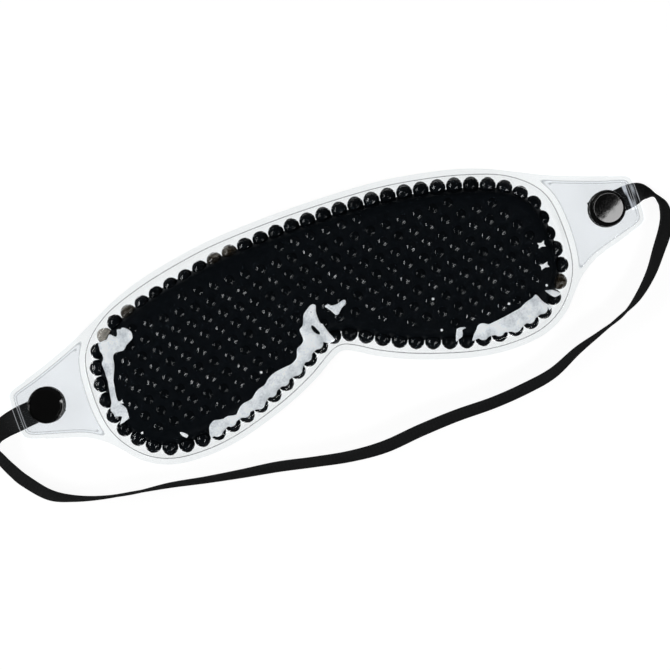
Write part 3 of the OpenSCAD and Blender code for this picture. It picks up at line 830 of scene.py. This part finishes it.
def makeCap(name, body, centreX, topZ, grip, up, material, leaning=False):
    # the profile spun about the snap's axis; the dish stands a little outwards in the rim, and
    # the floor of a leaning one is tilted
    profile, dishRows = capProfile(grip)
    angle = np.linspace(0, 2 * pi, cap["around"], endpoint=False)
    ring = np.column_stack([np.cos(angle), np.sin(angle)])
    xy = profile[:, None, :1] * ring[None]
    z = np.repeat(profile[:, 1:2], cap["around"], 1)
    if leaning:
        onFloor = np.clip((-cap["floorAt"] - z[:dishRows]) / cap["floorBlend"], 0, 1)
        z[:dishRows] -= onFloor * (xy[:dishRows] @ (np.array(cap["leanTo"]) * cap["lean"]))
    deep = np.clip(-profile[:dishRows, 1:2] / cap["dish"], 0, 1)
    xy[:dishRows, :, 0] += cap["outward"] * deep * np.sign(centreX)
    z = topZ + z if up else topZ - z
    points = np.dstack([xy[..., 0] + centreX, xy[..., 1], z]).reshape(-1, 3)
    faces = gridFaces(len(profile), cap["around"], closed=True)
    if not up:
        faces = faces[:, ::-1]
    piece = makePiece(name, points, faces, body, material, [capNodes[name]],
                      merge=0.0005)
    piece.data.set_sharp_from_angle(angle=radians(cap["sharp"]))


capBlack = plasticMaterial("blackCap", cap["black"], cap["dust"], cap["gloss"])
snapBlack = plasticMaterial("blackSnap", snap["black"], snap["dust"], snap["gloss"])
earCapTop = weldZ + pouch["filmThick"] + cap["thick"]
for side, x in (("left", -ear["snapX"]), ("right", ear["snapX"])):
    makeCap(side + "EarCap", "mask", x, earCapTop, 2 * pouch["filmThick"] + cap["clinch"], True,
            capBlack, leaning=side == "right")
    makeCap(side + "StrapCap", side + "_snap_half", x, 0, strap["thick"] + cap["clinch"], False,
            capBlack)
    for part in ("_socket", "_stud"):
        node = cadNodes[side + part]
        node.data.materials.clear()
        node.data.materials.append(snapBlack)
print("snaps made")


# glow is a painted glow of the sheets' own colour; bright is the painted light in bead gaps
air = {"pale": (0.86, 0.885, 0.905, 1), "grey": (0.50, 0.535, 0.57, 1),
       "bright": (0.93, 0.94, 0.95, 1), "rounds": 185.0, "roundShare": 0.38,
       "below": 0.02, "gapSheetBelow": 0.03, "skin": 0.05,
       "steps": 2, "mesh": 0.8, "cover": 2.3, "coverTurn": 50, "crescent": 1.35,
       "uneven": 0.45, "rowTop": -8, "dot": 0.42, "glow": 0.3}

airPockets = [  # the outlines of the pockets that end between the row of beads and the rest
    [[-75.6, 13.7], [-72.6, 13.9], [-71.7, 14.9], [-71, 15.2], [-70.4, 14.6], [-69.3, 13.7],
     [-68.6, 14.6], [-68.4, 15.7], [-67.8, 15.9], [-67, 15.6], [-66.4, 15.9], [-65.2, 15.2],
     [-64, 13.7], [-64.1, 12], [-64.6, 11.2], [-67, 9.9], [-67.9, 9], [-68.6, 8.6], [-70.2, 8.7],
     [-71.3, 8.8], [-72.2, 8.1], [-72.6, 7], [-72.8, 5.6], [-73.3, 4], [-74, 2.4], [-74.9, 0.3],
     [-75.2, -1.5], [-75.8, -5], [-75.6, -7.2], [-74.9, -8.2], [-74.2, -9.2], [-73.9, -10.2],
     [-74, -12], [-74.2, -13.2], [-75.2, -13.6], [-77.9, -14.3], [-76.4, -12.4], [-76.6, -11.7],
     [-78.6, -11.2], [-78.5, -10.4], [-79.2, -9], [-78.7, -7.6], [-78, -6.4], [-77.7, -4.5],
     [-77.1, -0.7], [-76.8, 0.5], [-76.8, 2.2], [-76.7, 4], [-76.8, 6.8], [-76, 7.8],
     [-75.6, 8.8], [-75.7, 10], [-76, 11], [-75.8, 12.4]],
    [[-0.6, 0.2], [0, 0.6], [0.9, 0.5], [1.5, -0.1], [2.5, -0.3], [3.8, -0.3], [5, 0.1],
     [6, 0.3], [6.6, -0.1], [6.3, -1], [5.4, -1.6], [4.4, -2.2], [3.6, -3], [2.9, -3.6],
     [2.1, -3.7], [1.6, -3.1], [1, -2], [0.4, -1]],
    [[38.3, -21.3], [39.6, -21.2], [41, -21.6], [41.2, -22], [40, -22.2], [39.8, -23],
     [39.2, -24.3], [38, -24.7], [36.8, -25.2], [37.4, -23.2], [38, -22]],
    [[70.2, -18.9], [71.4, -19.2], [72.6, -19.5], [73.6, -20.2], [74.4, -20.9], [74.8, -21.6],
     [74, -22], [72.8, -22.1], [72, -21.6], [71.2, -20.6], [70.6, -19.8]]]

rowPockets = [  # upper edges of the pockets that reach over the row of beads, left to right
    [[-50.6, -28.6], [-50.7, -27.2], [-50.3, -25.6], [-49.7, -24.4], [-48.6, -23.6],
     [-47.6, -23.3], [-46.2, -23.6], [-44.6, -23.8], [-43.2, -23.4], [-41.8, -23.7],
     [-40.2, -23.9], [-39.2, -22.9], [-38, -21.8], [-36.4, -21.1], [-34.6, -20.9],
     [-33.2, -20.4], [-31.6, -19], [-30, -18.2], [-28.2, -17.8], [-27.2, -17], [-26, -16],
     [-24.4, -15.2], [-22.4, -14.7], [-20, -14.4], [-17.8, -14.2], [-16.4, -13.7],
     [-15.2, -12.9], [-14.6, -11.9], [-14.2, -10.6], [-13.7, -9.8], [-12.4, -9.2],
     [-11.3, -8.4], [-10.9, -7.4], [-11.1, -4.6], [-10.6, -3.9], [-9.8, -3.5], [-9.2, -2.6],
     [-8.6, -1], [-8, 0.2], [-7, 1], [-5.9, 1.7], [-4.8, 2.3], [-3.9, 2.2], [-3.3, 1.6],
     [-3.7, 0.4], [-4, -1], [-3.9, -4.2], [-3.2, -4.9], [-2.9, -6], [-2, -8.8], [-1, -11.3],
     [-2.6, -11.7], [-4, -11.4]],
    [[42, -26.8], [42.6, -25.6], [43.6, -24.4], [44.4, -23.6], [45.2, -22.6], [46.4, -22.2],
     [47.6, -22.6], [48.8, -23.3], [50.4, -23.2], [54.6, -22.7], [58.6, -22], [60.4, -21.7],
     [61.8, -21], [63.2, -20.4], [64.8, -20], [65.8, -19.7], [66.7, -19.1], [67.4, -19.9],
     [67.8, -21], [68.4, -22.2], [69.2, -23.2], [70.2, -24.2], [70.5, -25], [69.4, -25.6]]]

airHole = [[-6.8, -4.2], [-6.2, -4.6], [-5.6, -5.8], [-5, -7.2], [-5.2, -8], [-5.9, -7.6],
           [-6.6, -6.8], [-7, -5.8], [-7.1, -4.8]]

# painted light: pale glowing sheets fill these gaps between beads, where light shows through
brightGaps = [  # small bright gaps between beads
    [[71.2, -10.2], [72.6, -10.5], [74.1, -10.1], [73.8, -11], [74.2, -12], [72.8, -11.7],
     [71.3, -12.1], [71.6, -11.1]],
    [[72.9, -3.2], [74.2, -3.6], [75.4, -3], [75, -4.1], [75.3, -5.2], [74, -4.8], [72.8, -5.1],
     [73.2, -4.1]],
    [[-76, -6.7], [-75, -7], [-74.2, -6.6], [-74.4, -7.3], [-74.2, -8], [-75.2, -7.7]],
    [[-59.8, -23.3], [-59, -23.5], [-58.2, -24.2], [-57.5, -25.1], [-58.3, -25.7], [-59.1, -25],
     [-59.6, -24.3]]]
# more painted light: tiny round gaps between beads
brightGapDots = [[34.2, -9.3], [57.4, -19.1], [71.3, -17.5], [33.5, -20], [-71.7, -19.3],
              [-27.7, -13.4]]


def airMaterial(name, pale, grey):
    # fogged film over air, and the pale sheets in the gaps between beads: pale and mottled, with
    # faint rounds where beads press on it; both glow faintly by their own colour, a painted glow
    material, tree, out = newMaterial(name)
    uneven = useGroup(tree, unevenGroup, {"Patch Size": 240.0, "Grain Size": 1500.0,
                                          "Low": 0.0, "High": 1.0})
    where = put(tree, "ShaderNodeTexCoord").outputs["Object"]
    rounds = put(tree, "ShaderNodeTexVoronoi", {"Vector": where, "Scale": air["rounds"]},
                 feature="SMOOTH_F1")
    disc = calc(tree, "SUBTRACT", 2.2, calc(tree, "MULTIPLY", rounds.outputs["Distance"], 6.0),
                clamp=True)
    share = calc(tree, "MULTIPLY_ADD", disc, air["roundShare"],
                 calc(tree, "MULTIPLY_ADD", uneven.outputs["Value"], 1.1, -0.3, clamp=True),
                 clamp=True)
    bump = put(tree, "ShaderNodeBump", {"Strength": 0.5, "Distance": 0.0003,
                                        "Height": uneven.outputs["Patches"]})
    colour = blendColour(tree, share, pale, grey)
    shader = put(tree, "ShaderNodeBsdfPrincipled", {
        "Base Color": colour, "Roughness": 0.45, "Specular IOR Level": 0.2,
        # painted glow: the sheet shines by its own colour
        "Emission Color": colour, "Emission Strength": air["glow"],
        "Normal": bump.outputs[0]})
    tree.links.new(shader.outputs[0], out.inputs[0])
    return material


def overRow(upper):
    # closes a pocket's upper edge along the row of beads below it: it covers each bead but
    # for a dark crescent at the bead's outer side
    row = np.vstack([edgeCentres, smokyCentres])[:, :2]
    upper = np.array(upper)
    first, last = upper[0, 0] + 2, upper[-1, 0] - 1
    row = row[(row[:, 0] > first) & (row[:, 0] < last) & (row[:, 1] < air["rowTop"])]
    row = row[np.argsort(-row[:, 0])]
    turn = np.radians(np.linspace(-1, 1, 5) * air["coverTurn"])
    under = []
    for k, centre in enumerate(row):
        nearest = np.argmin(((seam - centre) ** 2).sum(1))
        out = seamOut[nearest]
        side = np.array([out[1], -out[0]])
        arc = air["cover"] * (np.cos(turn)[:, None] * out - np.sin(turn)[:, None] * side)
        inward = air["crescent"] + air["uneven"] * np.sin(2.1 * k + 0.4)
        under.append(centre - inward * out + arc[::1 if side[0] > 0 else -1])
    return np.vstack([upper] + under)


def makeAir(name, pockets, material, below):
    # each pocket is an outline and its holes: they are rounded, filled, cut fine and laid just
    # under the film
    bm = bmesh.new()
    for pocket in pockets:
        edges = []
        for part in pocket:
            loop = smoothCurve(part, air["steps"], closed=True)
            verts = [bm.verts.new((x, y, 0)) for x, y in loop]
            edges += [bm.edges.new((a, b)) for a, b in zip(verts, verts[1:] + verts[:1])]
        bmesh.ops.triangle_fill(bm, use_beauty=True, edges=edges, normal=(0, 0, 1))
    for _ in range(2):
        longEdges = [e for e in bm.edges if e.calc_length() > air["mesh"]]
        bmesh.ops.subdivide_edges(bm, edges=longEdges, cuts=1, use_grid_fill=True)
    bmesh.ops.triangulate(bm, faces=bm.faces)
    bm.verts.index_update()
    xy = np.array([v.co[:2] for v in bm.verts])
    faces = [[v.index for v in f.verts] for f in bm.faces]
    bm.free()
    z = filmOver(xy, frontBeads) - pouch["filmThick"] - below
    piece = makePiece(name, np.column_stack([xy, z]), faces, "mask", material)
    piece.modifiers.new("skin", "SOLIDIFY").thickness = air["skin"] * mm


angles = np.linspace(0, 2 * pi, 7)[:-1]
dots = [np.array(p) + air["dot"] * np.column_stack([np.cos(angles), np.sin(angles)])
        for p in brightGapDots]
leftOverRow, rightOverRow = (overRow(p) for p in rowPockets)
makeAir("trappedAir", [[p] for p in airPockets] + [[leftOverRow, airHole], [rightOverRow]],
        airMaterial("foggedAir", air["pale"], air["grey"]), air["below"])
# painted light: pale glowing sheets in the small gaps between beads
makeAir("paintedGapLight", [[p] for p in brightGaps + dots],
        airMaterial("paintedGapGlow", air["bright"], air["pale"]), air["gapSheetBelow"])
print("air pockets made")


light = {"floor": (0.16, 0.16, 0.16, 1), "speck": (0.8, 0.8, 0.8, 1), "fill": 0.93,
         "halfTable": 4, "tableDrop": 0.00002, "zenith": 0.02, "low": 0.05, "darkFrom": 0.45,
         "darkTo": 0.8}
lamps = {  # direction, distance, width and height, brightness of the face, turn in degrees
    "leftLamp": ((-0.72, 0.33, 0.61), 0.9, (0.66, 0.17), 9, 0),
    "lowLamp": ((0.36, -0.70, 0.79), 0.9, (0.66, 0.17), 8.5, 0),
    "rightCapLamp": ((0.244, -0.115, 1.0), 1.036, (0.12, 0.058), 10.5, -42)}


def makeFloor():
    # a grey table that takes faint shadows, and glows white where it is seen directly or
    # through glass
    material, tree, out = newMaterial("whiteTable")
    speck = put(tree, "ShaderNodeTexNoise", {
        "Vector": put(tree, "ShaderNodeTexCoord").outputs["Object"], "Scale": 40.0})
    colour = blendColour(tree, calc(tree, "MULTIPLY", speck.outputs["Fac"], 0.02),
                         light["floor"], light["speck"])
    diffuse = put(tree, "ShaderNodeBsdfDiffuse", {"Color": colour})
    path = put(tree, "ShaderNodeLightPath")
    seen = calc(tree, "ADD", path.outputs["Is Camera Ray"], path.outputs["Is Transmission Ray"],
                clamp=True)
    glow = put(tree, "ShaderNodeEmission", {"Color": (1, 1, 1, 1), "Strength": calc(
        tree, "MULTIPLY", seen, light["fill"])})
    both = put(tree, "ShaderNodeAddShader", {0: diffuse.outputs[0], 1: glow.outputs[0]})
    tree.links.new(both.outputs[0], out.inputs[0])
    h = light["halfTable"]
    mesh = bpy.data.meshes.new("table")
    mesh.from_pydata([(-h, -h, 0), (h, -h, 0), (h, h, 0), (-h, h, 0)], [], [(0, 1, 2, 3)])
    floor = bpy.data.objects.new("table", mesh)
    floor.location.z = -light["tableDrop"]
    mesh.materials.append(material)
    bpy.context.scene.collection.objects.link(floor)


def makeWorld():
    # dim round the horizon and darker overhead, but white wherever it is seen directly
    world = bpy.data.worlds.new("room")
    bpy.context.scene.world = world
    world.use_nodes = True
    tree = world.node_tree
    tree.nodes.clear()
    height = put(tree, "ShaderNodeSeparateXYZ", {
        0: put(tree, "ShaderNodeTexCoord").outputs["Generated"]}).outputs["Z"]
    level = put(tree, "ShaderNodeMapRange", {
        "Value": height, "From Min": light["darkFrom"], "From Max": light["darkTo"],
        "To Min": light["low"], "To Max": light["zenith"]},
        interpolation_type="SMOOTHSTEP").outputs[0]
    seen = put(tree, "ShaderNodeLightPath").outputs["Is Camera Ray"]
    strength = put(tree, "ShaderNodeMix", {0: seen, 2: level, 3: 1.0}).outputs[0]
    back = put(tree, "ShaderNodeBackground", {0: (1, 1, 1, 1), 1: strength})
    tree.links.new(back.outputs[0], put(tree, "ShaderNodeOutputWorld").inputs[0])


def makeLamp(name, direction, distance, size, radiance, turn):
    # a rectangular lamp facing the object; its power gives the wanted brightness of its face
    data = bpy.data.lights.new(name, "AREA")
    data.shape = "RECTANGLE"
    data.size, data.size_y = size
    data.energy = radiance * pi * size[0] * size[1]
    lamp = bpy.data.objects.new(name, data)
    unit = np.array(direction, float) / np.linalg.norm(direction)
    lamp.location = unit * distance
    facing = Vector(unit).to_track_quat("Z", "Y")
    lamp.rotation_euler = (facing @ Quaternion((0, 0, 1), radians(turn))).to_euler()
    bpy.context.scene.collection.objects.link(lamp)


makeFloor()
makeWorld()
for name, values in lamps.items():
    makeLamp(name, *values)
print("room and lamps made")

bpy.context.scene.view_settings.view_transform = "Standard"

print("done")
